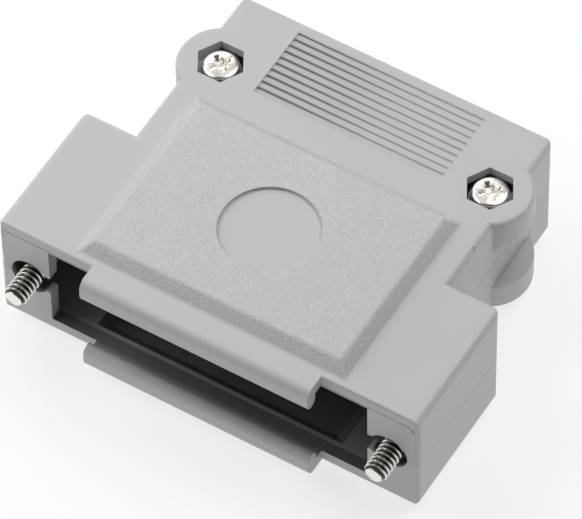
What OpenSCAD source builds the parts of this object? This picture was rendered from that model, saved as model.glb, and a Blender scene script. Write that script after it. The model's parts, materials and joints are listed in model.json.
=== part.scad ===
// Two-shell hood for a 25-way connector, with captive jackscrews and a cable clamp.
// Millimetres. X runs across the width, -Y faces the connector, +Z is up.
// The lower shell is the upper shell turned half a turn about Y.

/* [Shells] */
// Width across the two jackscrew blocks
block_w = 54.7; // [53.9:0.1:54.9]
// Depth of the jackscrew blocks
block_d = 18.15; // [17.5:0.05:19]
// Width of the body behind the blocks
body_w = 41.2; // [40.6:0.1:41.3]
// Length from the connector face to the cable face
body_l = 41.6; // [41.3:0.05:42.4]
// Height over both shells without the pads
shell_h = 15.8; // [15.6:0.1:16.2]
// Thickness of roof and side walls
wall = 1.2; // [1:0.05:1.3]
// Thickness of the connector face
front_wall = 1.5; // [1.3:0.1:1.8]
// Radius of the rear corners in plan
rear_r = 1.5; // [0.8:0.1:1.6]
// Radius of the front corners in plan
front_r = 0.7; // [0.3:0.05:0.9]
// Radius along the edges of roof and sides
side_r = 1; // [0.6:0.05:1.1]
// Radius along the front edge of the roof
front_edge_r = 0.3; // [0.2:0.05:0.6]
// Radius along the rear edges of the roof and round the ears
edge_r = 0.6; // [0.4:0.1:0.8]
// Open gap along the seam
seam_gap = 0.06; // [0.04:0.01:0.1]

/* [Connector opening] */
// Width of the opening
opening_w = 41.5; // [41:0.1:41.8]
// Height of the opening
opening_h = 12.4; // [12:0.1:12.6]
// Width of the two hooked tongues
tongue_w = 29.6; // [28:0.1:31]
// Reach of the tongues in front of the connector face
tongue_reach = 2.85; // [2.7:0.05:3]
// Outer radius where a tongue turns over
tongue_r = 1.2; // [1.1:0.05:1.4]
// Height of the hook edge above the middle
hook_z = 4.65; // [4.4:0.05:4.8]
// Slot behind the hook for the connector flange
flange_slot = 1.2; // [1:0.05:1.3]

/* [Raised pad] */
// Width of the pad at its foot
pad_w = 34.8; // [33:0.1:35.6]
// Distance of the pad foot behind the connector face
pad_front = 0.95; // [0.8:0.05:1.4]
// Length of the pad at its foot
pad_l = 25.2; // [24:0.1:25.4]
// Rise of the pad, with sides at 45 degrees
pad_rise = 1.4; // [1.1:0.1:1.5]
// Diameter of the round recess
recess_d = 11.85; // [10:0.05:13]
// Depth of the round recess
recess_depth = 0.4; // [0.2:0.05:0.5]

/* [Finger grip] */
// Width of the grooved field
grip_w = 24.6; // [20:0.2:25]
// Number of grooves
grip_count = 10; // [6:1:10]
// Spacing of the grooves
grip_pitch = 1.005; // [0.8:0.005:1.01]
// Depth of a groove at its steep side
grip_depth = 0.42; // [0.2:0.02:0.5]
// Distance of the last groove in front of the cable face
grip_back = 1.45; // [1.3:0.05:2]

/* [Ears] */
// Half the distance between the shell screws
ear_x = 17.72; // [17.5:0.02:18]
// Distance of the shell screws behind the connector face
ear_y = 31.93; // [31.6:0.01:32.2]
// Radius of an ear
ear_r = 5.15; // [5:0.05:5.4]
// Thickness of one ear lobe
lobe_t = 3.85; // [3.6:0.05:4.2]
// Fillet between the right lobe and the side wall
lobe_r = 1.9; // [1.2:0.1:2.2]
// Width across flats of the hexagonal pocket
pocket_af = 5.2; // [5.15:0.05:5.3]
// Depth of the hexagonal pocket
pocket_depth = 1.9; // [1.8:0.05:2]
// Diameter of the boss round a shell screw
boss_d = 5; // [4.6:0.1:5.1]

/* [Jackscrews] */
// Distance between the jackscrews
jack_spacing = 47.04; // [46.8:0.02:47.2]
// How far the loose screws hang below the middle
jack_drop = 0.45; // [0.3:0.05:0.5]
// Thread diameter of a jackscrew
jack_d = 2.84; // [2.6:0.02:3]
// Shank diameter behind the thread
jack_shank_d = 2.1; // [2:0.05:2.2]
// Reach of the screw tip in front of the connector face
jack_reach = 3.4; // [2:0.1:4]
// Length of the thread
jack_thread_l = 10; // [8:0.1:10.5]
// Diameter of the slotted head
jack_head_d = 4; // [3.8:0.1:4.6]
// Thickness of the slotted head
jack_head_t = 1.4; // [1.2:0.1:2]
// Distance of the head behind the block
jack_float = 0.6; // [0.4:0.1:2]
// Distance between the centres of the round holes in the connector face
hole_spacing = 46.8; // [46.6:0.1:47]
// Diameter of the round holes in the connector face
hole_d = 4.9; // [4.4:0.1:5]
// Height of the slots from the holes to the opening
slot_h = 2.6; // [2:0.1:3]

/* [Shell screws] */
// Thread diameter of the shell and clamp screws
screw_d = 2.5; // [2.4:0.1:2.6]
// Diameter of the pan heads
head_d = 4.3; // [4.2:0.1:4.6]
// Height of the pan heads
head_t = 1.75; // [1.5:0.05:1.8]
// Width across flats of the nuts
nut_af = 5; // [4.8:0.05:5]
// Thickness of the nuts
nut_t = 1.8; // [1.6:0.05:1.8]

/* [Cable clamp] */
// Outer diameter of the rubber grommet
grommet_d = 10; // [9.6:0.1:10]
// Bore of the rubber grommet
grommet_bore = 8; // [7.4:0.1:8]
// Bore of the inner sleeve
cable_d = 6; // [5:0.1:6.4]
// Half the distance between the clamp screws
clamp_x = 8.8; // [8.6:0.1:9]
// Length of the clamp saddles along the cable
saddle_l = 4.8; // [4:0.1:5]
// Thickness of the clamp saddles
saddle_t = 1.2; // [1:0.05:1.25]

/* [Hidden] */
$fa = 4;
$fs = 0.2;
eps = 0.01;
cut = 1;
half_h = shell_h / 2;
roof_z = half_h - wall;
inner_front = front_wall;
block_back = block_d - front_wall;
body_back = body_l - wall - 0.2;
ear_side = body_w / 2 - 0.03;
ear_root = sqrt(pow(ear_r, 2) - pow(ear_side - ear_x, 2));
lobe_z = half_h - lobe_t;
seat_z = half_h - pocket_depth;
plateau_z = half_h + pad_rise;
pad_mid = pad_front + pad_l / 2;
pocket_inset = 1.3;
rim_x = block_w / 2 - front_r;
rim_z = 6.5;
rim_r = 0.9;
rim_line = 0.13;
rib_y = 8.8;
rib_t = 1.2;
shank_slot_w = jack_shank_d + 0.3;
screw_clear = 0.15;
thread_play = 0.02;
thread_relief = 0.04;
tip_chamfer = 0.4;
saddle_y = 33.3;
saddle_gap = 2;
tab_end = clamp_x + 2.7;
cheek_x = tab_end + 0.2;
cheek_t = 1;
saddle_r = grommet_d / 2 + 0.05;
clamp_y = saddle_y + saddle_l / 2;
tab_top = saddle_gap / 2 + saddle_t;
washer_t = 0.45;
clamp_screw_l = 7.6;
collar_t = 1.2;
grommet_play = 0.1;
cable_rib_y = saddle_y - 1.4;
grommet_back = body_l + 0.6;

// A block from one corner to the opposite one.
module span(low, high) {
    translate(low)
        cube(high - low);
}

// A shape drawn with x and z, drawn out along Y from one depth to another.
module along_y(front, back) {
    translate([0, back, 0])
        rotate([90, 0, 0])
            linear_extrude(back - front)
                children();
}

// A shape drawn with y and z, drawn out along X, centred.
module along_x(width) {
    translate([-width / 2, 0, 0])
        rotate([90, 0, 90])
            linear_extrude(width)
                children();
}

// A rectangle in plan with four round corners.
module round_rect(low, high, r) {
    translate([low[0] + r, low[1]])
        square([high[0] - low[0] - 2 * r, high[1] - low[1]]);
    translate([low[0], low[1] + r])
        square([high[0] - low[0], high[1] - low[1] - 2 * r]);
    for (x = [low[0] + r, high[0] - r], y = [low[1] + r, high[1] - r])
        translate([x, y])
            circle(r);
}

// A slab of full height, rounded at its corners in plan and along all its edges.
module slab(width, front, back) {
    middle = (front + back) / 2;
    intersection() {
        translate([0, 0, -half_h])
            linear_extrude(shell_h) {
                round_rect([-width / 2, front], [width / 2, middle + 1], front_r);
                round_rect([-width / 2, middle - 1], [width / 2, back], rear_r);
            }
        along_y(front, back)
            round_rect([-width / 2, -half_h], [width / 2, half_h], side_r);
        along_x(width) {
            round_rect([front, -half_h], [middle + 1, half_h], front_edge_r);
            round_rect([middle - 1, -half_h], [back, half_h], edge_r);
        }
    }
}

// A round ear of full height with round rims.
module ear() {
    rotate_extrude() {
        square([ear_r - edge_r, half_h]);
        square([ear_r, half_h - edge_r]);
        translate([ear_r - edge_r, half_h - edge_r])
            circle(edge_r);
    }
}

// Both shells closed, without pads, tongues or pockets.
module hood_block() {
    slab(block_w, 0, block_d);
    slab(body_w, block_d / 2, body_l);
    for (side = [-1, 1], turn = [0, 180])
        translate([side * ear_x, ear_y, 0])
            rotate([0, turn, 0])
                ear();
}

// A flat-topped mound with sides at 45 degrees, foot at z = 0.
module mound(width, length, rise) {
    intersection() {
        along_x(width)
            polygon([[-length / 2, 0], [length / 2, 0], [length / 2 - rise, rise], [rise - length / 2, rise]]);
        along_y(-length / 2, length / 2)
            polygon([[-width / 2, 0], [width / 2, 0], [width / 2 - rise, rise], [rise - width / 2, rise]]);
    }
}

// Grooves with a steep side facing the connector and a ramp behind it.
module grip_grooves() {
    back = body_l - grip_back;
    front = back - grip_count * grip_pitch;
    crest = half_h - 0.05;
    ramps = [
        for (i = [0:grip_count - 1])
            for (p = [[front + i * grip_pitch, crest], [front + (i + 1) * grip_pitch, half_h - grip_depth]])
                p
    ];
    along_x(grip_w)
        polygon(concat([[back, half_h + cut], [front, half_h + cut]], ramps));
}

// Hook that holds the connector flange, drawn with y and z.
module tongue_profile() {
    hook_t = tongue_reach - flange_slot;
    translate([tongue_r - tongue_reach, opening_h / 2])
        square([tongue_reach - tongue_r + pad_front, half_h - opening_h / 2]);
    translate([tongue_r - tongue_reach, half_h - tongue_r])
        intersection() {
            circle(tongue_r);
            translate([-tongue_r, 0])
                square(tongue_r);
        }
    translate([-tongue_reach, hook_z + hook_t / 2])
        square([hook_t, half_h - tongue_r - hook_z - hook_t / 2]);
    translate([hook_t / 2 - tongue_reach, hook_z + hook_t / 2])
        circle(d = hook_t);
}

// Space between the lobes of an ear, drawn with x and z, rounded under the lobe.
module lobe_window(r) {
    deep = half_h;
    translate([ear_side, -deep])
        square([ear_r, deep + lobe_z - r]);
    if (r > 0) {
        translate([ear_side + r, -deep])
            square([ear_r, deep + lobe_z]);
        translate([ear_side + r, lobe_z - r])
            circle(r);
    }
}

// Outside of one shell without its tongue, down past the seam.
module shell_outside() {
    difference() {
        union() {
            hood_block();
            translate([0, pad_mid, half_h - eps])
                mound(pad_w, pad_l, pad_rise + eps);
        }
        along_y(ear_y - ear_root, ear_y + ear_root)
            lobe_window(lobe_r);
        mirror([1, 0, 0])
            along_y(ear_y - ear_root, ear_y + ear_root)
                lobe_window(0);
        translate([0, pad_mid, plateau_z - recess_depth])
            cylinder(d = recess_d, h = recess_depth + cut);
        grip_grooves();
    }
}

// Hollow inside one shell, with the hollow of the pad above it.
module shell_inside() {
    span([wall - block_w / 2, inner_front, -cut], [block_w / 2 - wall, block_back, roof_z]);
    span([wall - body_w / 2, inner_front, -cut], [body_w / 2 - wall, body_back, roof_z]);
    translate([0, pad_mid, roof_z - eps])
        mound(pad_w - 2 * pocket_inset, pad_l - 2 * pocket_inset, pad_rise + eps);
}

// Bosses, ribs and cheeks that stand inside one shell.
module shell_ribs() {
    for (side = [-1, 1]) {
        translate([side * ear_x, ear_y, 0])
            cylinder(d = boss_d, h = roof_z + eps);
        translate([side * jack_spacing / 2, rib_y + rib_t / 2, roof_z / 2])
            cube([block_w / 2 - wall - opening_w / 2, rib_t, roof_z + 2 * eps], center = true);
        translate([side * (cheek_x + cheek_t / 2), (cable_rib_y + body_back) / 2, roof_z / 2])
            cube([cheek_t, body_back - cable_rib_y + 2 * eps, roof_z + 2 * eps], center = true);
    }
    span([-cheek_x - cheek_t, cable_rib_y, 0], [cheek_x + cheek_t, cable_rib_y + cheek_t, roof_z + eps]);
}

// Opening, bores, slots and pockets cut through one shell.
module shell_cuts() {
    span([-opening_w / 2, -cut, -shell_h], [opening_w / 2, inner_front + eps, opening_h / 2]);
    along_y(cable_rib_y - cut, body_l + cut)
        circle(d = grommet_d + 2 * grommet_play);
    for (side = [-1, 1]) {
        translate([side * hole_spacing / 2, inner_front + eps, 0])
            rotate([90, 0, 0])
                cylinder(d = hole_d, h = inner_front + cut);
        translate([side * (opening_w + hole_spacing) / 4, inner_front / 2, 0])
            cube([(hole_spacing - opening_w) / 2 + eps, inner_front + cut, slot_h], center = true);
        along_y(rib_y - cut, block_d + cut)
            translate([side * jack_spacing / 2, 0])
                shank_slot();
        translate([side * ear_x, ear_y, -cut])
            cylinder(d = screw_d + 2 * screw_clear, h = shell_h);
        translate([side * ear_x, ear_y, seat_z])
            cylinder(d = pocket_af / cos(30), h = pocket_depth + cut, $fn = 6);
    }
}

// Upright slot that holds the shank of a jackscrew and stops its thread.
module shank_slot() {
    reach = jack_drop - 0.1;
    for (z = [-reach, reach])
        translate([0, z])
            circle(d = shank_slot_w);
    translate([-shank_slot_w / 2, -reach])
        square([shank_slot_w, 2 * reach]);
}

// One shell moulding, drawn as the upper one.
module shell() {
    difference() {
        union() {
            difference() {
                shell_outside();
                shell_inside();
            }
            shell_ribs();
            along_x(tongue_w)
                tongue_profile();
        }
        shell_cuts();
        span([-block_w, -cut, -shell_h], [block_w, body_l + cut, seam_gap / 2]);
    }
}

// Fine groove over the opening, turning down at its right end, cut into the connector face.
module rim_groove() {
    along_y(-cut, rim_line) {
        translate([-block_w, rim_z - rim_line])
            square([block_w + rim_x - rim_r, rim_line]);
        translate([rim_x - rim_r, rim_z - rim_r])
            intersection() {
                difference() {
                    circle(rim_r);
                    circle(rim_r - rim_line);
                }
                square(rim_r);
            }
    }
}

module upper_shell() {
    color("#B9BABD")
        difference() {
            shell();
            rim_groove();
        }
}

module lower_shell() {
    color("#B9BABD")
        rotate([0, 180, 0])
            shell();
}

// A jackscrew along Y: chamfered tip, thread, thin shank and slotted head.
module jackscrew(side) {
    r = jack_d / 2;
    shank_r = jack_shank_d / 2;
    thread_end = jack_thread_l - jack_reach;
    seat = block_d + jack_float;
    profile = [
        [0, -jack_reach],
        [r - tip_chamfer, -jack_reach],
        [r, tip_chamfer - jack_reach],
        [r, -2 * thread_relief],
        [r - thread_relief, -thread_relief],
        [r - thread_relief, thread_end],
        [shank_r, thread_end + r - shank_r],
        [shank_r, seat],
        [jack_head_d / 2, seat],
        [jack_head_d / 2, seat + jack_head_t],
        [0, seat + jack_head_t]
    ];
    color("#D9D5CC")
        translate([side * jack_spacing / 2, 0, -jack_drop])
            difference() {
                rotate([-90, 0, 0])
                    rotate_extrude()
                        polygon(profile);
                translate([0, seat + jack_head_t, 0])
                    cube([0.7, 1.8, jack_head_d + cut], center = true);
            }
}

module left_jackscrew() {
    jackscrew(-1);
}

module right_jackscrew() {
    jackscrew(1);
}

// A pan-head screw with a cross recess, seat at z = 0, thread downwards.
module pan_screw(length) {
    dome_r = 6;
    difference() {
        union() {
            intersection() {
                cylinder(d = head_d, h = head_t);
                translate([0, 0, head_t - dome_r])
                    sphere(dome_r);
            }
            translate([0, 0, -length])
                cylinder(d = screw_d, h = length + eps);
        }
        for (turn = [0, 90])
            rotate([0, 0, turn])
                translate([0, 0, head_t])
                    cube([3, 0.7, 1.8], center = true);
    }
}

// A hexagonal nut on z = 0.
module hex_nut() {
    difference() {
        cylinder(d = nut_af / cos(30), h = nut_t, $fn = 6);
        translate([0, 0, -cut])
            cylinder(d = screw_d + 2 * thread_play, h = nut_t + 2 * cut);
    }
}

module shell_screw(side) {
    color("#D9D5CC")
        translate([side * ear_x, ear_y, seat_z])
            rotate([0, 0, 50.5 - 4.5 * side])
                pan_screw(seat_z + half_h - 0.3);
}

module left_shell_screw() {
    shell_screw(-1);
}

module right_shell_screw() {
    shell_screw(1);
}

module shell_nut(side) {
    color("#D9D5CC")
        translate([side * ear_x, ear_y, -seat_z - nut_t])
            hex_nut();
}

module left_shell_nut() {
    shell_nut(-1);
}

module right_shell_nut() {
    shell_nut(1);
}

// A clamp saddle: half a ring over the grommet with a screwed tab on each side.
module saddle() {
    difference() {
        along_y(saddle_y, saddle_y + saddle_l)
            difference() {
                union() {
                    circle(saddle_r + saddle_t);
                    translate([-tab_end, saddle_gap / 2])
                        square([2 * tab_end, saddle_t]);
                }
                circle(saddle_r);
                translate([-tab_end - cut, saddle_gap / 2 - shell_h])
                    square([2 * tab_end + 2 * cut, shell_h]);
            }
        for (side = [-1, 1])
            translate([side * clamp_x, clamp_y, 0])
                cylinder(d = screw_d + 2 * screw_clear, h = half_h);
    }
}

module upper_saddle() {
    color("#C4C2BA")
        saddle();
}

module lower_saddle() {
    color("#C4C2BA")
        rotate([0, 180, 0])
            saddle();
}

module clamp_washer(side) {
    color("#C4C2BA")
        translate([side * clamp_x, clamp_y, tab_top])
            difference() {
                cylinder(d = head_d, h = washer_t);
                translate([0, 0, -cut])
                    cylinder(d = screw_d + 2 * screw_clear, h = 3 * cut);
            }
}

module left_clamp_washer() {
    clamp_washer(-1);
}

module right_clamp_washer() {
    clamp_washer(1);
}

module clamp_screw(side) {
    color("#D9D5CC")
        translate([side * clamp_x, clamp_y, tab_top + washer_t])
            pan_screw(clamp_screw_l);
}

module left_clamp_screw() {
    clamp_screw(-1);
}

module right_clamp_screw() {
    clamp_screw(1);
}

module clamp_nut(side) {
    color("#D9D5CC")
        translate([side * clamp_x, clamp_y, -tab_top - nut_t])
            hex_nut();
}

module left_clamp_nut() {
    clamp_nut(-1);
}

module right_clamp_nut() {
    clamp_nut(1);
}

// Rubber grommet through the cable face, with a collar inside the wall.
module cable_grommet() {
    color("#2B2B2D")
        rotate([-90, 0, 0])
            rotate_extrude()
                polygon([
                    [grommet_bore / 2, cable_rib_y],
                    [grommet_d / 2, cable_rib_y],
                    [grommet_d / 2, body_back - collar_t - 0.1],
                    [grommet_d / 2 + 1, body_back - collar_t - 0.1],
                    [grommet_d / 2 + 1, body_back - 0.1],
                    [grommet_d / 2, body_back - 0.1],
                    [grommet_d / 2, grommet_back],
                    [grommet_bore / 2, grommet_back]
                ]);
}

// Thin sleeve that narrows the grommet to the cable.
module cable_sleeve() {
    color("#3A3A3C")
        rotate([-90, 0, 0])
            rotate_extrude()
                translate([cable_d / 2, cable_rib_y])
                    square([(grommet_bore - cable_d) / 2 - 0.05, grommet_back - cable_rib_y]);
}

upper_shell();
lower_shell();
left_jackscrew();
right_jackscrew();
left_shell_screw();
right_shell_screw();
left_shell_nut();
right_shell_nut();
upper_saddle();
lower_saddle();
left_clamp_screw();
right_clamp_screw();
left_clamp_washer();
right_clamp_washer();
left_clamp_nut();
right_clamp_nut();
cable_grommet();
cable_sleeve();
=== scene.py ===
"""Dresses the connector hood: shells, threaded screws, clamp and bush, with floor, light and camera."""

import json
import math

import bmesh
import bpy
from bpy.props import FloatProperty, FloatVectorProperty, IntProperty, PointerProperty
from mathutils import Matrix, Vector

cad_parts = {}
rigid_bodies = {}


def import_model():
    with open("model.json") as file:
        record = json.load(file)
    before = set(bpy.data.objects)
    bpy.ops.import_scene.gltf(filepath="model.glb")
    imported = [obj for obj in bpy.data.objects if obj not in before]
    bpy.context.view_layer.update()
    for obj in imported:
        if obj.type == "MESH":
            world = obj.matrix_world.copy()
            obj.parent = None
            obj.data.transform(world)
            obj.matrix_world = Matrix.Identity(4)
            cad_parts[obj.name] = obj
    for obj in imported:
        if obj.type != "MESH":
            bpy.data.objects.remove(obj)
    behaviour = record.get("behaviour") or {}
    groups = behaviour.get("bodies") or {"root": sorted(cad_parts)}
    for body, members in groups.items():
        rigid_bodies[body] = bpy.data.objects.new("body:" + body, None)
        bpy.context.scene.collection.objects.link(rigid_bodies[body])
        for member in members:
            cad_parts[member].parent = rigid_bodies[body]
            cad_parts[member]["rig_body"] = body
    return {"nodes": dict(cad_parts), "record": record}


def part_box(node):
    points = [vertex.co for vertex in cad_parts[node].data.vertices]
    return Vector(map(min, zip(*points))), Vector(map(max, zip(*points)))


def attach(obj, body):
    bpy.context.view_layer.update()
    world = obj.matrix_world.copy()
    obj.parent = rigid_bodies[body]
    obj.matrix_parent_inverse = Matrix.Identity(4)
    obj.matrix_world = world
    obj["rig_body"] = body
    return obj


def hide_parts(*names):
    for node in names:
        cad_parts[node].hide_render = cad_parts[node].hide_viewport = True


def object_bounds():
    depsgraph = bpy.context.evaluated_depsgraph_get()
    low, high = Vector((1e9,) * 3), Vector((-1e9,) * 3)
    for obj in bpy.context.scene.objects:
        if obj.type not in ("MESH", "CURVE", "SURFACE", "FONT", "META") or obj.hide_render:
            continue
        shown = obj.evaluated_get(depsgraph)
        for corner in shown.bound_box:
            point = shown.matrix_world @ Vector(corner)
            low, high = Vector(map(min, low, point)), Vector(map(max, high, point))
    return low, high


bl_info = {
    "name": "Connector hood dressing",
    "version": (1, 0, 0),
    "blender": (4, 5, 0),
    "location": "3D View > Sidebar > Hood",
    "description": "Gives the packed connector hood its mouldings, threads, finishes and studio",
    "category": "Object",
}

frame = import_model()
cad_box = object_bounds()

MM = 0.001

# Depth of a thread as a share of its pitch
THREAD_DEPTH = 0.6134


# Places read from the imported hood, and directions about it

def mount(name):
    """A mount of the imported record, by its name."""
    return next(m for m in frame["record"]["mounts"] if m["name"] == name)


def direction(azimuth, elevation):
    """Unit vector away from the hood, at an azimuth from the front towards the right and an elevation."""
    level = math.cos(elevation)
    return Vector((math.sin(azimuth) * level, -math.cos(azimuth) * level, math.sin(elevation)))


# Settings a user would change

class HoodShellSettings(bpy.types.PropertyGroup):
    """Sizes and colour of the moulded shells."""

    plastic: FloatVectorProperty(
        name="Plastic", description="Colour of the moulded plastic", subtype="COLOR",
        size=3, min=0, max=1, default=(0.5, 0.5, 0.512))
    edge: FloatProperty(
        name="Edge", description="Width of the softened mould edges", subtype="DISTANCE", unit="LENGTH",
        min=0, max=0.0005, default=0.00016)
    grain: FloatProperty(
        name="Grain", description="Depth of the sparked texture on the pads", subtype="DISTANCE",
        unit="LENGTH", min=0, max=0.0005, default=0.00012)
    grain_size: FloatProperty(
        name="Grain size", description="Size of a pit of the sparked texture", subtype="DISTANCE",
        unit="LENGTH", min=0.00005, max=0.001, default=0.00024)
    # Painted shade: how far the plastic colour is darkened inside the hood, standing in for the shade there.
    painted_inner_shade: FloatProperty(
        name="Inner shade", description="How much duller the plastic is inside the hood",
        min=0, max=1, default=0.9)


class HoodMetalSettings(bpy.types.PropertyGroup):
    """Threads and colours of the metal pieces."""

    nickel: FloatVectorProperty(
        name="Nickel", description="Colour of the plated screws and nuts", subtype="COLOR",
        size=3, min=0, max=1, default=(0.86, 0.83, 0.77))
    zinc: FloatVectorProperty(
        name="Zinc", description="Colour of the pressed clamp saddles", subtype="COLOR",
        size=3, min=0, max=1, default=(0.66, 0.66, 0.64))
    jack_pitch: FloatProperty(
        name="Jackscrew pitch", description="Pitch of the inch thread", subtype="DISTANCE", unit="LENGTH",
        min=0.0003, max=0.001, default=0.000635)
    screw_pitch: FloatProperty(
        name="Screw pitch", description="Pitch of the shell and clamp screws", subtype="DISTANCE",
        unit="LENGTH", min=0.0003, max=0.001, default=0.00045)
    jack_thread: FloatProperty(
        name="Jackscrew thread", description="Length of the inch thread", subtype="DISTANCE", unit="LENGTH",
        min=0.004, max=0.0105, default=0.01)
    screw_thread: FloatProperty(
        name="Screw thread", description="Thread diameter of the shell and clamp screws", subtype="DISTANCE",
        unit="LENGTH", min=0.0024, max=0.0026, default=0.0025)
    head_height: FloatProperty(
        name="Head height", description="Height of the pan heads", subtype="DISTANCE", unit="LENGTH",
        min=0.0015, max=0.0018, default=0.00175)
    thread_steps: IntProperty(
        name="Thread steps", description="Facets in one turn of the inch thread", min=12, max=96, default=48)


class HoodRubberSettings(bpy.types.PropertyGroup):
    """Colour of the rubber pieces."""

    rubber: FloatVectorProperty(
        name="Rubber", description="Colour of the cable bush", subtype="COLOR",
        size=3, min=0, max=1, default=(0.022, 0.022, 0.024))


class HoodStageSettings(bpy.types.PropertyGroup):
    """Floor, lights and camera."""

    floor: FloatVectorProperty(
        name="Floor", description="Colour of the floor", subtype="COLOR",
        size=3, min=0, max=1, default=(0.3, 0.3, 0.3))
    glow: FloatProperty(
        name="Glow", description="Light that the floor sheet gives off", min=0, max=2, default=0.7)
    room: FloatProperty(
        name="Room", description="Even light from all round", min=0, max=1, default=0.09)
    power: FloatProperty(
        name="Power", description="Share of the power of all softboxes", min=0, max=5, default=1.0)


# Shader expressions

class Shade:
    """One value in a material's node tree. Plain arithmetic on it adds Math nodes."""

    def __init__(self, tree, socket=None):
        self.tree = tree
        self.socket = socket

    def node(self, kind, settings=(), inputs=(), output=0):
        """Adds a node, sets it up, feeds its sockets and gives back one of its outputs."""
        made = self.tree.nodes.new(kind)
        for name, value in dict(settings).items():
            setattr(made, name, value)
        for name, value in dict(inputs).items():
            if isinstance(value, Shade):
                self.tree.links.new(value.socket, made.inputs[name])
            else:
                made.inputs[name].default_value = value
        return Shade(self.tree, made.outputs[output])

    def math(self, operation, *values):
        """One Math node fed with the values."""
        return self.node("ShaderNodeMath", {"operation": operation}, enumerate(values))

    def __add__(self, other):
        return self.math("ADD", self, other)

    def __sub__(self, other):
        return self.math("SUBTRACT", self, other)

    def __mul__(self, other):
        return self.math("MULTIPLY", self, other)

    def __rsub__(self, other):
        return self.math("SUBTRACT", other, self)

    def __abs__(self):
        return self.math("ABSOLUTE", self)

    __radd__ = __add__
    __rmul__ = __mul__

    def root(self):
        """The square root."""
        return self.math("SQRT", self)

    def distance(self, *others):
        """Length of the vector that this value and the others make."""
        squares = self * self
        for other in others:
            squares = squares + other * other
        return squares.root()

    def ramp(self, low, high):
        """0 below the low value, 1 above the high one, smooth between them."""
        return self.node("ShaderNodeMapRange", {"interpolation_type": "SMOOTHSTEP"},
                         {"Value": self, "From Min": low, "From Max": high})

    def fall(self, low, high):
        """1 below the low value, 0 above the high one, smooth between them."""
        return 1 - self.ramp(low, high)

    def axes(self):
        """The X, Y and Z of a vector."""
        split = self.node("ShaderNodeSeparateXYZ", (), {0: self})
        outputs = split.socket.node.outputs
        return [Shade(self.tree, outputs[i]) for i in range(3)]

    def noise(self, place, size, detail=2.0, roughness=0.5):
        """Cloudy noise whose lumps have a size in metres, around 0.5."""
        return self.node("ShaderNodeTexNoise", (), {
            "Vector": place, "Scale": 1 / size, "Detail": detail, "Roughness": roughness})

    def blend(self, mask, first, second):
        """A colour that goes from the first to the second as the mask rises."""
        made = self.tree.nodes.new("ShaderNodeMix")
        made.data_type = "RGBA"
        colours = [s for s in made.inputs if s.type == "RGBA"]
        self.tree.links.new(mask.socket, made.inputs[0])
        for socket, colour in zip(colours, (first, second)):
            if isinstance(colour, Shade):
                self.tree.links.new(colour.socket, socket)
            else:
                socket.default_value = (*colour, 1)
        return Shade(self.tree, next(s for s in made.outputs if s.type == "RGBA"))

    def bump(self, height, depth, strength=1.0):
        """A normal bent by a height from 0 to 1 that stands for a depth in metres."""
        return self.node("ShaderNodeBump", (), {"Height": height, "Distance": depth, "Strength": strength})


def new_material(name, **constants):
    """A material with a Principled surface, its constants set, and the place on the object."""
    material = bpy.data.materials.new(f"hood_{name}")
    material.use_nodes = True
    surface = material.node_tree.nodes["Principled BSDF"]
    for socket, value in constants.items():
        surface.inputs[socket.replace("_", " ")].default_value = value
    place = Shade(material.node_tree).node("ShaderNodeTexCoord", output=3)
    return material, surface, place


def feed(surface, **values):
    """Links shader values to the sockets of the surface."""
    for socket, value in values.items():
        value.tree.links.new(value.socket, surface.inputs[socket.replace("_", " ")])


def tint(colour, factor):
    """A colour made lighter or darker."""
    return tuple(min(1.0, c * factor) for c in colour)


# Materials

# Near black painted into the plastic as shade inside the hood and in a tiny dimple.
PAINTED_SHADE = (0.004, 0.004, 0.004)
# Near black painted into the roots of the jackscrew threads as shade.
THREAD_ROOT_SHADE = (0.02, 0.018, 0.015)


def painted_shade_inside_hood(x, y, z):
    """Mask of painted shade: 1 on the faces inside the hood, less in its mouth and screw holes, 0 on those
    that meet the light.
    """
    fade = 0.1 * MM
    front_wall = 1.5 * MM
    block_half = 26.1 * MM
    body_half = 19.5 * MM
    block_back = 16.8 * MM
    body_back = 26 * MM
    roof = 6.6 * MM
    pad_front = 2.2 * MM
    pad_back = 24.8 * MM
    pad_half = 16.1 * MM
    pad_roof = 8.3 * MM
    pad_shade = 0.78
    mouth_half = 20.65 * MM
    mouth_roof = 6.2 * MM
    hook_tip = -1.4 * MM
    hole_x = 23.4 * MM
    hole_r = 2.46 * MM
    rim = 0.04 * MM
    mouth_shade = 0.8
    half = block_half - (block_half - body_half) * y.ramp(block_back - fade, block_back + fade)
    above_roof = abs(z).ramp(roof, roof + 0.15 * MM)
    # The painted shade of the cavity starts a little behind the front wall and that of the mouth stops at it,
    # so the thin unshaded strip between them is a painted highlight along the wall's rear edge.
    cavity = (y.ramp(front_wall + fade, front_wall + 2 * fade) * y.fall(body_back, body_back + 1 * MM)
              * (abs(x) - half).fall(0, fade) * (1 - above_roof))
    pad_hollow = (y.ramp(pad_front, pad_front + fade) * y.fall(pad_back, pad_back + fade)
                  * abs(x).fall(pad_half, pad_half + fade) * above_roof
                  * abs(z).fall(pad_roof, pad_roof + fade))
    mouth = (y.ramp(hook_tip, 0.2 * MM) * y.fall(front_wall - fade, front_wall)
             * abs(x).fall(mouth_half, mouth_half + fade / 2) * abs(z).fall(mouth_roof, mouth_roof + rim))
    bore = (y.ramp(0.1 * MM, 0.8 * MM) * y.fall(front_wall, front_wall + fade)
            * (abs(x) - hole_x).distance(z).fall(hole_r, hole_r + rim))
    return cavity + pad_hollow * pad_shade + (mouth + bore) * mouth_shade


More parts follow.
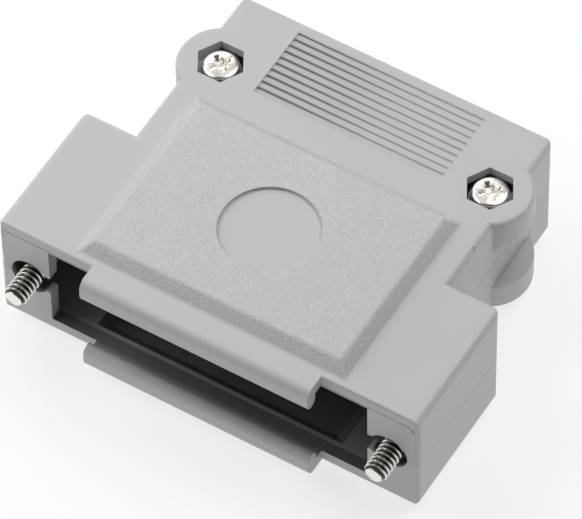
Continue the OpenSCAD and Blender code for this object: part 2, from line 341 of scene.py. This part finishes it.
def plastic_material():
    """Satin grey moulding: sparked grain on the pads, smooth in the recess and elsewhere, with painted shade
    inside the hood and on a tiny dimple.
    """
    settings = bpy.context.scene.hood_shell
    material, surface, place = new_material("moulded_plastic", Specular_IOR_Level=0.45)
    x, y, z = place.axes()
    pad_y = 13.55 * MM
    pad_foot = 7.9 * MM
    recess_edge = 5.88 * MM
    # A tiny dimple in the side wall, shown only by painted shade.
    dimple_x, dimple_y, dimple_z = 20.3 * MM, 24.0 * MM, 7.65 * MM
    dimple_r = 0.1 * MM
    inside = painted_shade_inside_hood(x, y, z)
    off_recess = x.distance(y - pad_y).ramp(recess_edge, recess_edge + 0.06 * MM)
    on_pad = abs(z).ramp(pad_foot, pad_foot + 0.25 * MM) * off_recess * (1 - inside)
    # Painted shade of the tiny dimple.
    dimple_shade = (x - dimple_x).distance(y - dimple_y, z - dimple_z).fall(dimple_r, dimple_r + 0.12 * MM)
    pits = place.noise(place, settings.grain_size, 3.0, 0.6).ramp(0.3, 0.7)
    skin = place.noise(place, 1.1 * MM, 2.0, 0.5)
    cloud = place.noise(place, 14 * MM, 2.0, 0.5)
    shade = cloud * 0.15 + (pits - 0.5) * on_pad * 0.7 + on_pad * 0.38 + 0.28
    colour = place.blend(shade, tint(settings.plastic, 0.86), tint(settings.plastic, 1.22))
    # Painted shade: the colour goes towards near black inside the hood and on the tiny dimple.
    colour = place.blend(inside * settings.painted_inner_shade + dimple_shade * 0.6, colour, PAINTED_SHADE)
    feed(
        surface,
        Base_Color=colour,
        Roughness=0.44 + on_pad * 0.1 + (cloud - 0.5) * 0.06,
        Normal=place.bump(pits * (0.03 + on_pad * 0.45) + skin * 0.1, settings.grain),
    )
    return material


def plated_material(name, colour, roughness, brushed):
    """Plated metal with fine turning marks, a little uneven gloss and painted shade in the roots of the
    jackscrew threads.
    """
    material, surface, place = new_material(name, Metallic=1.0)
    x, y, z = place.axes()
    stud = mount("jackscrews")
    axis_x = stud["dims"]["spacing_x_mm"] / 2 * MM
    crest = stud["dims"]["stud_r_mm"] * MM
    tip = 2 * stud["pos_m"][1]
    thread_end = 7.5 * MM
    shade_top = crest - 0.04 * MM
    from_axis = (abs(x) - axis_x).distance(z - stud["pos_m"][2])
    threaded = y.ramp(tip + 0.05 * MM, tip + 0.15 * MM) * y.fall(thread_end, thread_end + 0.5 * MM)
    # Painted shade in the roots of the jackscrew threads.
    groove = from_axis.fall(shade_top - 0.22 * MM, shade_top) * threaded
    marks = place.noise(place, 0.12 * MM, 3.0, 0.6)
    smudge = place.noise(place, 1.4 * MM, 2.0, 0.5)
    metal = place.blend(smudge, tint(colour, 0.93), tint(colour, 1.05))
    feed(
        surface,
        Base_Color=place.blend(groove * 0.94, metal, THREAD_ROOT_SHADE),
        Roughness=roughness + (smudge - 0.5) * 0.12 + (marks - 0.5) * brushed + groove * 0.15,
        Normal=place.bump(marks, 0.002 * MM, 0.3),
    )
    return material


def rubber_material(name, colour):
    """Matt rubber with a fine powdery skin."""
    material, surface, place = new_material(name, Specular_IOR_Level=0.3)
    skin = place.noise(place, 0.2 * MM, 3.0, 0.6)
    bloom = place.noise(place, 3 * MM, 2.0, 0.5)
    feed(
        surface,
        Base_Color=place.blend(bloom, tint(colour, 0.8), tint(colour, 1.5)),
        Roughness=0.62 + (bloom - 0.5) * 0.15,
        Normal=place.bump(skin, 0.02 * MM, 0.6),
    )
    return material


MATERIALS = {
    "moulded_plastic": plastic_material,
    "nickel": lambda: plated_material("nickel", bpy.context.scene.hood_metal.nickel, 0.24, 0.08),
    "zinc": lambda: plated_material("zinc", bpy.context.scene.hood_metal.zinc, 0.36, 0.14),
    "black_rubber": lambda: rubber_material("black_rubber", bpy.context.scene.hood_rubber.rubber),
    "dark_rubber": lambda: rubber_material("dark_rubber", tint(bpy.context.scene.hood_rubber.rubber, 1.6)),
}


def material_for(slot):
    """The material of one slot, made once."""
    return bpy.data.materials.get(f"hood_{slot}") or MATERIALS[slot]()


def slot_of(node):
    """The material slot that the record gives a node."""
    return next(part["material_slot"] for part in frame["record"]["subparts"] if part["node"] == node)


# Mesh helpers

def cad_copy(node):
    """A bmesh of a CAD node with its loose triangles merged and its flat faces joined."""
    bm = bmesh.new()
    bm.from_mesh(frame["nodes"][node].data)
    bmesh.ops.remove_doubles(bm, verts=bm.verts, dist=0.002 * MM)
    bmesh.ops.dissolve_limit(bm, angle_limit=math.radians(0.6), verts=bm.verts, edges=bm.edges)
    return bm


def new_object(bm, name):
    """A bmesh as an object with outward faces."""
    bmesh.ops.recalc_face_normals(bm, faces=bm.faces)
    mesh = bpy.data.meshes.new(name)
    bm.to_mesh(mesh)
    bm.free()
    thing = bpy.data.objects.new(name, mesh)
    bpy.context.scene.collection.objects.link(thing)
    return thing


def soften(bm, sharp, share):
    """Gives each sharp edge its share of the softening."""
    weights = bm.edges.layers.float.get("bevel_weight_edge") or bm.edges.layers.float.new("bevel_weight_edge")
    for line in bm.edges:
        if line.is_manifold and line.calc_face_angle() > math.radians(sharp):
            centre = (line.verts[0].co + line.verts[1].co) / 2
            line[weights] = share(centre) if share else 1.0


def finished(bm, name, node, edge=0.0, sharp=32, share=None):
    """Turns a bmesh into the piece that stands for a CAD node, with its edges softened when an edge width is
    given.
    """
    soften(bm, sharp, share)
    piece = new_object(bm, name)
    piece.data.shade_smooth()
    piece.data.set_sharp_from_angle(angle=math.radians(sharp))
    piece.data.materials.append(material_for(slot_of(node)))
    if edge > 0:
        soft = piece.modifiers.new("soft edges", "BEVEL")
        soft.width = edge
        soft.segments = 2
        soft.limit_method = "WEIGHT"
        soft.use_clamp_overlap = True
        flats = piece.modifiers.new("flat faces", "WEIGHTED_NORMAL")
        flats.weight = 100
        flats.keep_sharp = False
    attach(piece, frame["nodes"][node]["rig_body"])
    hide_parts(node)
    return piece


def cut_at(bm, z, keep_above):
    """Cuts a bmesh level at a height, drops one side and closes the cut."""
    bmesh.ops.bisect_plane(
        bm, geom=[*bm.verts, *bm.edges, *bm.faces], dist=1e-7, plane_co=(0, 0, z), plane_no=(0, 0, 1),
        clear_inner=keep_above, clear_outer=not keep_above)
    bmesh.ops.holes_fill(bm, edges=[line for line in bm.edges if line.is_boundary], sides=0)


def polyline(bm, points, round_at=(), radius=0.0, segments=3):
    """A line through points of radius and height, with some of its corners rounded."""
    verts = [bm.verts.new((r, 0, z)) for r, z in points]
    for first, second in zip(verts, verts[1:]):
        bm.edges.new((first, second))
    if round_at:
        bmesh.ops.bevel(
            bm, geom=[verts[i] for i in round_at], offset=radius, segments=segments, affect="VERTICES",
            profile=0.5, material=-1)


def turned(points, steps, round_at=(), radius=0.0, segments=3):
    """A solid of revolution about Z from a line of radius and height."""
    bm = bmesh.new()
    polyline(bm, points, round_at, radius, segments)
    bmesh.ops.spin(
        bm, geom=[*bm.verts, *bm.edges], cent=(0, 0, 0), axis=(0, 0, 1), angle=math.tau, steps=steps,
        use_merge=True)
    bmesh.ops.remove_doubles(bm, verts=bm.verts, dist=0.001 * MM)
    bmesh.ops.recalc_face_normals(bm, faces=bm.faces)
    return bm


def thread(radius, pitch, length, steps, chamfer):
    """A right-hand thread up Z from 0, cut level at both ends and chamfered at its tip."""
    root = radius - THREAD_DEPTH * pitch
    start = -1.5 * pitch
    turns = math.ceil(length / pitch) + 3
    heights = [start + pitch * share for share in (0, 1 / 8, 7 / 16, 9 / 16, 7 / 8, 1)]
    bm = bmesh.new()
    polyline(bm, zip((root, root, radius, radius, root, root), heights), (1, 2, 3, 4), 0.055 * pitch, 2)
    bmesh.ops.spin(
        bm, geom=[*bm.verts, *bm.edges], cent=(0, 0, 0), axis=(0, 0, 1), dvec=(0, 0, pitch / steps),
        angle=math.tau * turns, steps=steps * turns)
    bmesh.ops.remove_doubles(bm, verts=bm.verts, dist=0.0005 * MM)
    cut_at(bm, 0, True)
    cut_at(bm, length, False)
    for vert in bm.verts:
        most = radius - chamfer + max(vert.co.z, 0)
        flat = math.hypot(vert.co.x, vert.co.y)
        if flat > most:
            vert.co.x *= most / flat
            vert.co.y *= most / flat
    bmesh.ops.recalc_face_normals(bm, faces=bm.faces)
    return bm


def carved(bm, cutter, operation="DIFFERENCE"):
    """The bmesh with a second closed bmesh taken out of it, or kept to what both hold."""
    body = new_object(bm, "body")
    tool = new_object(cutter, "tool")
    cut = body.modifiers.new("cut", "BOOLEAN")
    cut.operation = operation
    cut.object = tool
    cut.solver = "EXACT"
    cut.use_self = True
    result = bmesh.new()
    result.from_mesh(body.evaluated_get(bpy.context.evaluated_depsgraph_get()).to_mesh())
    for thing in (body, tool):
        bpy.data.objects.remove(thing)
    bmesh.ops.remove_doubles(result, verts=result.verts, dist=0.002 * MM)
    return result


def joined(*parts):
    """Several bmeshes in one."""
    whole = bmesh.new()
    for part in parts:
        mesh = bpy.data.meshes.new("part")
        part.to_mesh(mesh)
        part.free()
        whole.from_mesh(mesh)
        bpy.data.meshes.remove(mesh)
    return whole


def placed(bm, place, turn=0.0, tilt=0.0):
    """Turns a bmesh about Z, tilts it about X and moves it to its place."""
    stand = Matrix.Translation(place) @ Matrix.Rotation(tilt, 4, "X") @ Matrix.Rotation(turn, 4, "Z")
    bmesh.ops.transform(bm, matrix=stand, verts=bm.verts)
    return bm


# Operators

class HOOD_OT_shells(bpy.types.Operator):
    """Softens the edges of both moulded shells and gives them their plastic"""

    bl_idname = "hood.shells"
    bl_label = "Shells"

    # Places that tell the edges of a shell apart: the pad, the finger grip and the groove at the front rim.
    PAD_FOOT = 7.85 * MM
    PAD_BACK = 27 * MM
    GRIP_HALF = 12.4 * MM
    GRIP_FRONT = 29 * MM
    FIRST_GROOVE = 30.5 * MM
    GROOVE_ROOT = 7.4 * MM
    GROOVE_CREST = 7.88 * MM
    RIM_INNER = 20.8 * MM
    RIM_LOW = 5.5 * MM
    RIM_HIGH = 6.6 * MM

    def execute(self, context):
        edge = context.scene.hood_shell.edge
        for side in ("upper", "lower"):
            node = f"{side}_shell"
            moulding = cad_copy(node)
            self.round_edges(moulding, self.on_pad, 0.32 * MM)
            self.round_edges(moulding, self.on_groove, 0.12 * MM)
            finished(moulding, f"{side}_moulding", node, edge, share=self.softening)
        return {"FINISHED"}

    def round_edges(self, bm, chosen, offset):
        """Rounds some of the edges of a shell."""
        bmesh.ops.bevel(
            bm, geom=[line for line in bm.edges if line.is_manifold and chosen(line)], offset=offset,
            offset_type="OFFSET", segments=4, profile=0.5, affect="EDGES", material=-1, clamp_overlap=False)

    def on_pad(self, line):
        """Whether an edge is one of the foot, rim and corners of a raised pad."""
        sloped = 40 < math.degrees(line.calc_face_angle()) < 65
        return sloped and all(abs(v.co.z) > self.PAD_FOOT and v.co.y < self.PAD_BACK for v in line.verts)

    def on_groove(self, line):
        """Whether an edge is the crest or the root of a groove of the finger grip."""
        first, second = (v.co for v in line.verts)
        low = all(self.GROOVE_ROOT < abs(co.z) < self.GROOVE_CREST and co.y > self.FIRST_GROOVE
                  for co in (first, second))
        return low and (first - second).length > 20 * MM and line.calc_face_angle() > math.radians(45)

    def softening(self, centre):
        """How much of the usual softening an edge gets: none in the fine grooves, little at the seam."""
        half, height = abs(centre.x), abs(centre.z)
        on_grip = half < self.GRIP_HALF and centre.y > self.GRIP_FRONT and height > 7.3 * MM
        on_rim = centre.y < 0.2 * MM and half > self.RIM_INNER and self.RIM_LOW < height < self.RIM_HIGH
        if on_grip or on_rim:
            return 0.0
        return 0.15 if height < 0.2 * MM else 1.0


class HOOD_OT_jackscrews(bpy.types.Operator):
    """Cuts the inch thread on both captive jackscrews"""

    bl_idname = "hood.jackscrews"
    bl_label = "Jackscrews"

    def execute(self, context):
        settings = context.scene.hood_metal
        radius = mount("jackscrews")["dims"]["stud_r_mm"] * MM
        chamfer = 0.45 * MM
        overlap = 0.1 * MM
        for side in ("left", "right"):
            node = f"{side}_jackscrew"
            low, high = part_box(node)
            axis = Vector(((low.x + high.x) / 2, low.y, (low.z + high.z) / 2))
            rod = thread(radius, settings.jack_pitch, settings.jack_thread, settings.thread_steps, chamfer)
            placed(rod, axis, tilt=-math.pi / 2)
            rear = cad_copy(node)
            bmesh.ops.bisect_plane(
                rear, geom=[*rear.verts, *rear.edges, *rear.faces], dist=1e-7, plane_no=(0, 1, 0),
                plane_co=axis + Vector((0, settings.jack_thread - overlap, 0)), clear_inner=True)
            bmesh.ops.holes_fill(rear, edges=[line for line in rear.edges if line.is_boundary], sides=0)
            finished(joined(rod, rear), f"{side}_threaded_jackscrew", node)
        return {"FINISHED"}


class HOOD_OT_screws(bpy.types.Operator):
    """Makes the cross-recessed pan screws of the ears and the cable clamp"""

    bl_idname = "hood.screws"
    bl_label = "Pan screws"

    def execute(self, context):
        settings = context.scene.hood_metal
        for kind, turns in (("shell", (55, 46)), ("clamp", (12, 71))):
            for side, turn in zip(("left", "right"), turns):
                node = f"{side}_{kind}_screw"
                low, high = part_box(node)
                self.make(settings, node, low, high, math.radians(turn))
        return {"FINISHED"}

    def make(self, settings, node, low, high, turn):
        """One screw, its head on top and its thread down to the lowest point of the CAD node."""
        head_r = (high.x - low.x) / 2
        head_t = settings.head_height
        radius = settings.screw_thread / 2
        dome_edge = (0.9 * head_r, 0.84 * head_t)
        side_top = (head_r, 0.74 * head_t)
        head = turned([(0, head_t), dome_edge, side_top, (head_r, 0), (0, 0)], 64, (1, 2), 0.14 * MM, 4)
        head = carved(head, self.recess(head_t))
        length = high.z - low.z - head_t
        rod = thread(radius, settings.screw_pitch, length, 32, 0.25 * MM)
        placed(rod, (0, 0, -length))
        whole = placed(joined(head, rod), ((low.x + high.x) / 2, (low.y + high.y) / 2, high.z - head_t), turn)
        finished(whole, f"{node}_threaded", node, 0.035 * MM, 38)

    def recess(self, top):
        """A cross-shaped cutter that narrows downwards, with a round middle."""
        depth = 0.9 * MM
        length = 3.1 * MM
        width = 0.72 * MM
        at_bottom = (0.55, 0.6, 1)
        cutter = bmesh.new()
        for turn in (0, math.pi / 2):
            wing = bmesh.ops.create_cube(cutter, size=1)["verts"]
            bmesh.ops.scale(cutter, vec=(length, width, depth), verts=wing)
            bmesh.ops.scale(cutter, vec=at_bottom, verts=[v for v in wing if v.co.z < 0])
            bmesh.ops.rotate(cutter, cent=(0, 0, 0), matrix=Matrix.Rotation(turn, 3, "Z"), verts=wing)
        bmesh.ops.create_cone(
            cutter, cap_ends=True, segments=8, radius1=0.55 * MM, radius2=0.85 * MM, depth=depth * 1.02)
        bmesh.ops.translate(cutter, vec=(0, 0, top - depth * 0.42), verts=cutter.verts)
        return cutter


class HOOD_OT_nuts(bpy.types.Operator):
    """Makes the chamfered hexagon nuts of the shell and clamp screws"""

    bl_idname = "hood.nuts"
    bl_label = "Nuts"

    def execute(self, context):
        for node in frame["nodes"]:
            if node.endswith("_nut"):
                self.make(context.scene.hood_metal, node)
        return {"FINISHED"}

    def make(self, settings, node):
        """One nut: a hexagon kept to a chamfered disc and bored out."""
        low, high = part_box(node)
        tall = high.z - low.z
        corner = (high.x - low.x) / 2
        flat = corner * math.cos(math.pi / 6)
        nut = bmesh.new()
        bmesh.ops.create_cone(nut, cap_ends=True, segments=6, radius1=corner, radius2=corner, depth=tall)
        half = tall / 2
        land = flat - 0.05 * MM
        side = half - (corner - flat) * math.tan(math.radians(30)) - 0.06 * MM
        disc = [(0, half), (land, half), (corner, side), (corner, -side), (land, -half), (0, -half)]
        nut = carved(nut, turned(disc, 72), "INTERSECT")
        bore = settings.screw_thread / 2 + 0.02 * MM
        sink = 0.2 * MM
        mouth = bore + 2 * sink
        above = half + sink
        neck = half - sink
        hole = [(0, above), (mouth, above), (bore, neck), (bore, -neck), (mouth, -above), (0, -above)]
        nut = carved(nut, turned(hole, 48))
        bmesh.ops.rotate(nut, cent=(0, 0, 0), matrix=Matrix.Rotation(math.pi / 2, 3, "Z"), verts=nut.verts)
        finished(placed(nut, (low + high) / 2), f"{node}_chamfered", node, 0.03 * MM, 24)


class HOOD_OT_clamp(bpy.types.Operator):
    """Rounds the pressed saddles and their washers"""

    bl_idname = "hood.clamp"
    bl_label = "Cable clamp"

    def execute(self, context):
        for node in frame["nodes"]:
            if node.endswith(("_saddle", "_washer")):
                finished(cad_copy(node), f"{node}_pressed", node, 0.09 * MM)
        return {"FINISHED"}


class HOOD_OT_bush(bpy.types.Operator):
    """Rounds the cable bush and its sleeve"""

    bl_idname = "hood.bush"
    bl_label = "Cable bush"

    def execute(self, context):
        for node, edge in (("cable_grommet", 0.16 * MM), ("cable_sleeve", 0.1 * MM)):
            finished(cad_copy(node), f"{node}_moulded", node, edge)
        return {"FINISHED"}


class HOOD_OT_stage(bpy.types.Operator):
    """Sets the floor, the soft studio light and the camera"""

    bl_idname = "hood.stage"
    bl_label = "Studio"

    FLOOR_GAP = 0.01 * MM
    CAMERA_PLACE = (0.23975, -0.36433, 0.60635)

    # Each softbox: name, azimuth from the front towards the right, elevation, distance, width and watts.
    SOFTBOXES = (
        ("low left", 285, 25, 0.26, 0.16, 0.16),
        ("left", 285, 50, 0.26, 0.16, 0.26),
        ("low rear left", 225, 32, 0.42, 0.28, 0.28),
        ("high rear left", 225, 62, 0.5, 0.5, 0.39),
        ("low right", 90, 15, 0.3, 0.2, 0.03),
        ("high rear right", 140, 60, 0.3, 0.2, 0.44),
    )

    def execute(self, context):
        settings = context.scene.hood_stage
        context.scene.view_settings.view_transform = "Standard"
        self.add_floor(settings, cad_box[0][2] - self.FLOOR_GAP)
        self.add_room(context, settings.room)
        for name, azimuth, elevation, distance, width, power in self.SOFTBOXES:
            away = direction(math.radians(azimuth), math.radians(elevation))
            self.add_softbox(name, away, distance, width, power * settings.power)
        self.add_camera(context)
        return {"FINISHED"}

    def add_floor(self, settings, floor_z):
        """A large glowing sheet of paper under the hood."""
        bm = bmesh.new()
        bmesh.ops.create_grid(bm, x_segments=1, y_segments=1, size=1.5)
        bmesh.ops.translate(bm, verts=bm.verts, vec=(0, 0, floor_z))
        floor = new_object(bm, "floor")
        material, surface, place = new_material(
            "floor_paper", Roughness=0.9, Specular_IOR_Level=0.1, Emission_Color=(1, 1, 1, 1),
            Emission_Strength=settings.glow)
        paper = place.noise(place, 30 * MM)
        feed(surface, Base_Color=place.blend(paper, tint(settings.floor, 0.99), tint(settings.floor, 1.01)))
        floor.data.materials.append(material)

    def add_room(self, context, strength):
        """A dim even world, so that the sheet and the softboxes do most of the lighting."""
        world = bpy.data.worlds.new("studio")
        world.use_nodes = True
        background = world.node_tree.nodes["Background"]
        background.inputs["Color"].default_value = (1, 1, 1, 1)
        background.inputs["Strength"].default_value = strength
        context.scene.world = world

    def add_softbox(self, name, away, distance, width, power):
        """A square lamp that looks at the middle of the hood."""
        aim = Vector((0, 0.02, 0))
        lamp = bpy.data.lights.new(name, "AREA")
        lamp.energy = power
        lamp.size = width
        box = bpy.data.objects.new(name, lamp)
        box.location = aim + away * distance
        box.rotation_euler = away.to_track_quat("Z", "Y").to_euler()
        bpy.context.scene.collection.objects.link(box)

    def add_camera(self, context):
        """The camera of the photograph, with its focal length and image width in pixels."""
        image_w = 582
        focal_px = 6706.0
        azimuth, elevation, roll = (math.radians(a) for a in (32.095, 53.41, -1.081))
        back = direction(azimuth, elevation)
        right = Vector((math.cos(azimuth), math.sin(azimuth), 0))
        turn = Matrix((right, back.cross(right), back)).transposed() @ Matrix.Rotation(roll, 3, "Z")
        lens = bpy.data.cameras.new("camera")
        lens.sensor_fit = "HORIZONTAL"
        lens.sensor_width = 36
        lens.lens = focal_px * lens.sensor_width / image_w
        lens.clip_start = 0.05
        lens.clip_end = 10
        camera = bpy.data.objects.new("camera", lens)
        camera.matrix_world = Matrix.Translation(self.CAMERA_PLACE) @ turn.to_4x4()
        context.scene.collection.objects.link(camera)
        context.scene.camera = camera


class HOOD_PT_panel(bpy.types.Panel):
    """Lists the steps that dress the hood"""

    bl_idname = "HOOD_PT_panel"
    bl_label = "Connector hood"
    bl_space_type = "VIEW_3D"
    bl_region_type = "UI"
    bl_category = "Hood"

    def draw(self, context):
        for operator in OPERATORS:
            self.layout.operator(operator.bl_idname)
        for group in GROUPS:
            settings = getattr(context.scene, group)
            for name in settings.__annotations__:
                self.layout.prop(settings, name)


GROUPS = {
    "hood_shell": HoodShellSettings,
    "hood_metal": HoodMetalSettings,
    "hood_rubber": HoodRubberSettings,
    "hood_stage": HoodStageSettings,
}
OPERATORS = (
    HOOD_OT_jackscrews, HOOD_OT_screws, HOOD_OT_nuts, HOOD_OT_clamp, HOOD_OT_bush, HOOD_OT_shells,
    HOOD_OT_stage)


def register():
    for cls in (*GROUPS.values(), *OPERATORS, HOOD_PT_panel):
        bpy.utils.register_class(cls)
    for name, group in GROUPS.items():
        setattr(bpy.types.Scene, name, PointerProperty(type=group))


def unregister():
    for name in GROUPS:
        delattr(bpy.types.Scene, name)
    for cls in (HOOD_PT_panel, *OPERATORS, *GROUPS.values()):
        bpy.utils.unregister_class(cls)


def main():
    """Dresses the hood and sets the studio."""
    register()
    for operator in OPERATORS:
        getattr(bpy.ops.hood, operator.bl_idname.split(".")[1])()


if __name__ == "__main__":
    main()
